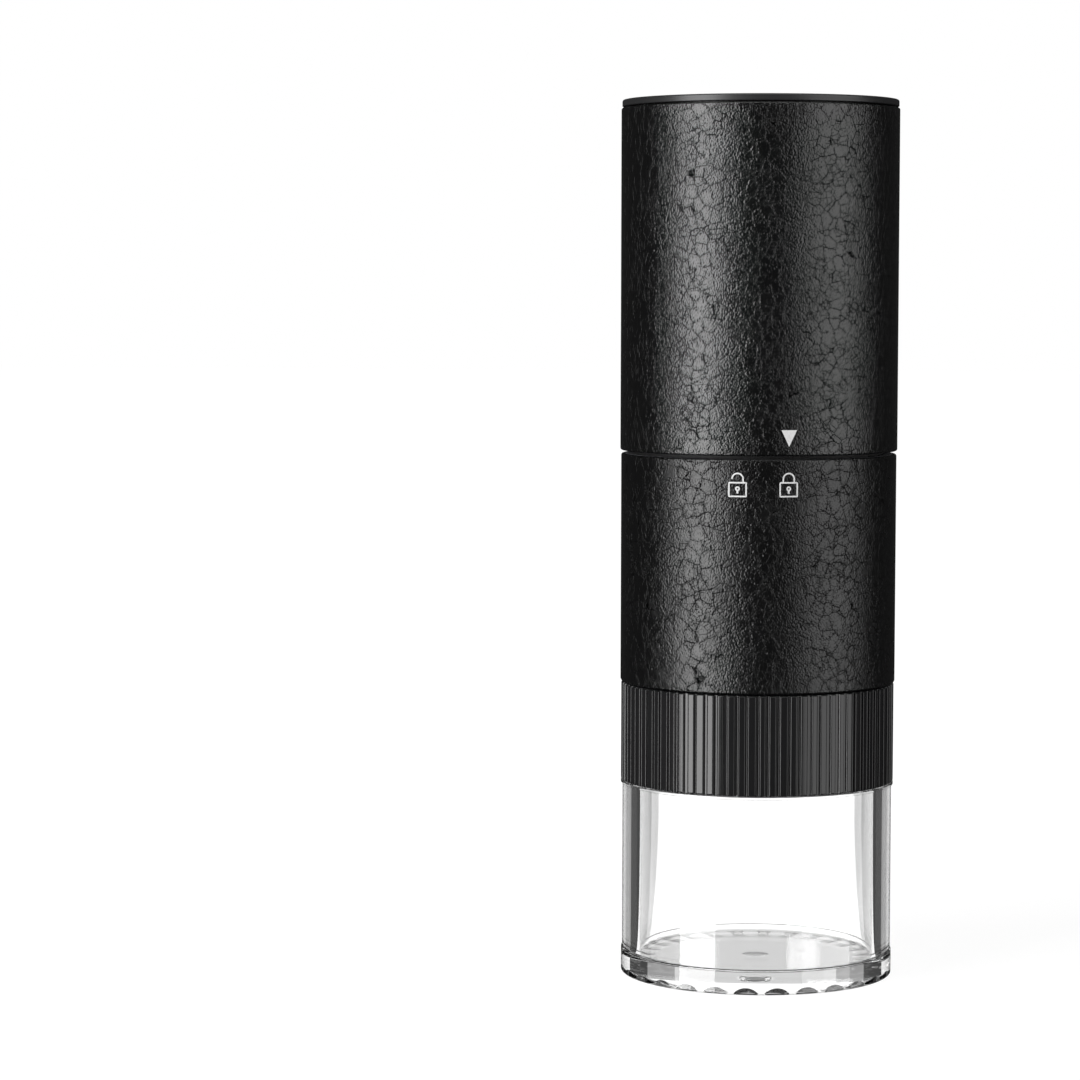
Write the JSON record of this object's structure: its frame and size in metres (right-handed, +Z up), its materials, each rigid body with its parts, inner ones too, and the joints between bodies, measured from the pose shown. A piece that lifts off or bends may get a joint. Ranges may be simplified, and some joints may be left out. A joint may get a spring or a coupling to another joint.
{
  "type": "portable electric coffee grinder",
  "caption": "Hand-held cylindrical coffee grinder: clear grounds cup, ribbed grind ring, leather-wrapped bean hopper and twist-locked motor head",
  "frame": {"origin": "middle of the cup's flat underside", "axes": "+Z up along the grinder's axis, front with the lock marks towards -Y, charging socket at +Y"},
  "size_m": [0.066, 0.066, 0.2085],
  "materials": {
    "clear_plastic": "clear, glossy",
    "black_leather": "grained, low gloss",
    "satin_black": "satin",
    "black_metal": "satin, dark",
    "inner_plastic": "matte",
    "button_black": "gloss",
    "light_guide": "milky",
    "steel": "brushed",
    "burr_steel": "ground",
    "silicone": "matte",
    "gear_plastic": "satin",
    "cell_wrap": "gloss",
    "board_green": "satin",
    "bronze": "sintered"
  },
  "bodies": {
    "cup": {"grounds_cup": "clear_plastic"},
    "gasket": {"cup_gasket": "silicone"},
    "hopper": {"grinder_collar": "inner_plastic", "retaining_ring": "inner_plastic", "bearing_bridge": "inner_plastic", "shaft_bearing": "steel", "bridge_screws": "steel", "hopper_shell": "inner_plastic", "hopper_wrap": "black_leather", "hopper_funnel": "inner_plastic", "top_bridge": "inner_plastic", "top_bush": "bronze"},
    "adjuster": {"grind_ring": "satin_black", "drive_pins": "steel"},
    "outer_burr_unit": {"burr_carrier": "inner_plastic", "outer_burr": "burr_steel", "burr_screws": "steel"},
    "burr_drive": {"drive_shaft": "steel", "inner_burr": "burr_steel", "burr_washer": "steel", "burr_nut": "steel", "burr_spacer": "steel", "drive_dog": "steel"},
    "head": {"head_wrap": "black_leather", "head_shell": "inner_plastic", "head_base": "inner_plastic", "head_seal": "silicone", "head_screws": "steel", "shaft_seal": "silicone", "gearbox_case": "inner_plastic", "output_bush": "bronze", "gearbox_lid": "inner_plastic", "motor_screws": "steel", "motor_can": "steel", "motor_end_cap": "inner_plastic", "motor_frame": "inner_plastic", "battery_left": "cell_wrap", "battery_right": "cell_wrap", "control_board": "board_green", "board_chips": "satin_black", "board_screws": "steel", "usb_socket": "steel", "tact_switch": "satin_black", "top_cap": "black_metal", "light_ring": "light_guide"},
    "button": {"power_button": "button_black", "switch_plunger": "inner_plastic"},
    "output": {"output_carrier": "steel", "drive_socket": "inner_plastic"},
    "first_stage": {"first_carrier": "gear_plastic"},
    "rotor": {"motor_shaft": "steel", "motor_pinion": "steel"},
    "output_planet_1": {"output_planet_1": "gear_plastic"},
    "input_planet_1": {"input_planet_1": "gear_plastic"},
    "output_planet_2": {"output_planet_2": "gear_plastic"},
    "input_planet_2": {"input_planet_2": "gear_plastic"},
    "output_planet_3": {"output_planet_3": "gear_plastic"},
    "input_planet_3": {"input_planet_3": "gear_plastic"}
  },
  "joints": [
    {"name": "cup_lift", "type": "slide", "parent": "cup", "child": "gasket", "axis": [0, 0, 1], "range_m": [0, 0.0081]},
    {"name": "body_turn", "type": "hinge", "parent": "gasket", "child": "hopper", "pos_m": [0, 0, 0], "axis": [0, 0, 1], "range_deg": [0, 720]},
    {"name": "grind_adjust", "type": "hinge", "parent": "hopper", "child": "adjuster", "pos_m": [0, 0, 0], "axis": [0, 0, 1], "range_deg": [-40, 40]},
    {"name": "burr_travel", "type": "slide", "parent": "adjuster", "child": "outer_burr_unit", "axis": [0, 0, 1], "range_m": [-0.00034, 0.00034]},
    {"name": "burr_spin", "type": "hinge", "parent": "hopper", "child": "burr_drive", "pos_m": [0, 0, 0], "axis": [0, 0, 1], "continuous": true},
    {"name": "head_twist", "type": "hinge", "parent": "hopper", "child": "head", "pos_m": [0, 0, 0], "axis": [0, 0, 1], "range_deg": [-21, 0]},
    {"name": "button_press", "type": "slide", "parent": "head", "child": "button", "axis": [0, 0, -1], "range_m": [0, 0.001], "stiffness_N_per_m": 1500, "springref_m": -0.0005},
    {"name": "output_spin", "type": "hinge", "parent": "head", "child": "output", "pos_m": [0, 0, 0], "axis": [0, 0, 1], "continuous": true},
    {"name": "first_stage_spin", "type": "hinge", "parent": "head", "child": "first_stage", "pos_m": [0, 0, 0], "axis": [0, 0, 1], "continuous": true},
    {"name": "motor_spin", "type": "hinge", "parent": "head", "child": "rotor", "pos_m": [0, 0, 0], "axis": [0, 0, 1], "continuous": true},
    {"name": "output_planet_1_spin", "type": "hinge", "parent": "output", "child": "output_planet_1", "pos_m": [0.01013, 0, 0.136], "axis": [0, 0, 1], "continuous": true},
    {"name": "input_planet_1_spin", "type": "hinge", "parent": "first_stage", "child": "input_planet_1", "pos_m": [0.01013, 0, 0.144], "axis": [0, 0, 1], "continuous": true},
    {"name": "output_planet_2_spin", "type": "hinge", "parent": "output", "child": "output_planet_2", "pos_m": [-0.00506, 0.00877, 0.136], "axis": [0, 0, 1], "continuous": true},
    {"name": "input_planet_2_spin", "type": "hinge", "parent": "first_stage", "child": "input_planet_2", "pos_m": [-0.00506, 0.00877, 0.144], "axis": [0, 0, 1], "continuous": true},
    {"name": "output_planet_3_spin", "type": "hinge", "parent": "output", "child": "output_planet_3", "pos_m": [-0.00506, -0.00877, 0.136], "axis": [0, 0, 1], "continuous": true},
    {"name": "input_planet_3_spin", "type": "hinge", "parent": "first_stage", "child": "input_planet_3", "pos_m": [-0.00506, -0.00877, 0.144], "axis": [0, 0, 1], "continuous": true}
  ],
  "couplings": [
    {"joint": "cup_lift", "follows": "body_turn", "m_per_rad": 0.00063662},
    {"joint": "burr_travel", "follows": "grind_adjust", "m_per_rad": 0.00047746},
    {"joint": "output_spin", "follows": "burr_spin", "ratio": 1},
    {"joint": "first_stage_spin", "follows": "burr_spin", "ratio": 4.5},
    {"joint": "motor_spin", "follows": "burr_spin", "ratio": 20.25},
    {"joint": "output_planet_1_spin", "follows": "burr_spin", "ratio": -2.8},
    {"joint": "input_planet_1_spin", "follows": "burr_spin", "ratio": -12.6},
    {"joint": "output_planet_2_spin", "follows": "burr_spin", "ratio": -2.8},
    {"joint": "input_planet_2_spin", "follows": "burr_spin", "ratio": -12.6},
    {"joint": "output_planet_3_spin", "follows": "burr_spin", "ratio": -2.8},
    {"joint": "input_planet_3_spin", "follows": "burr_spin", "ratio": -12.6}
  ]
}
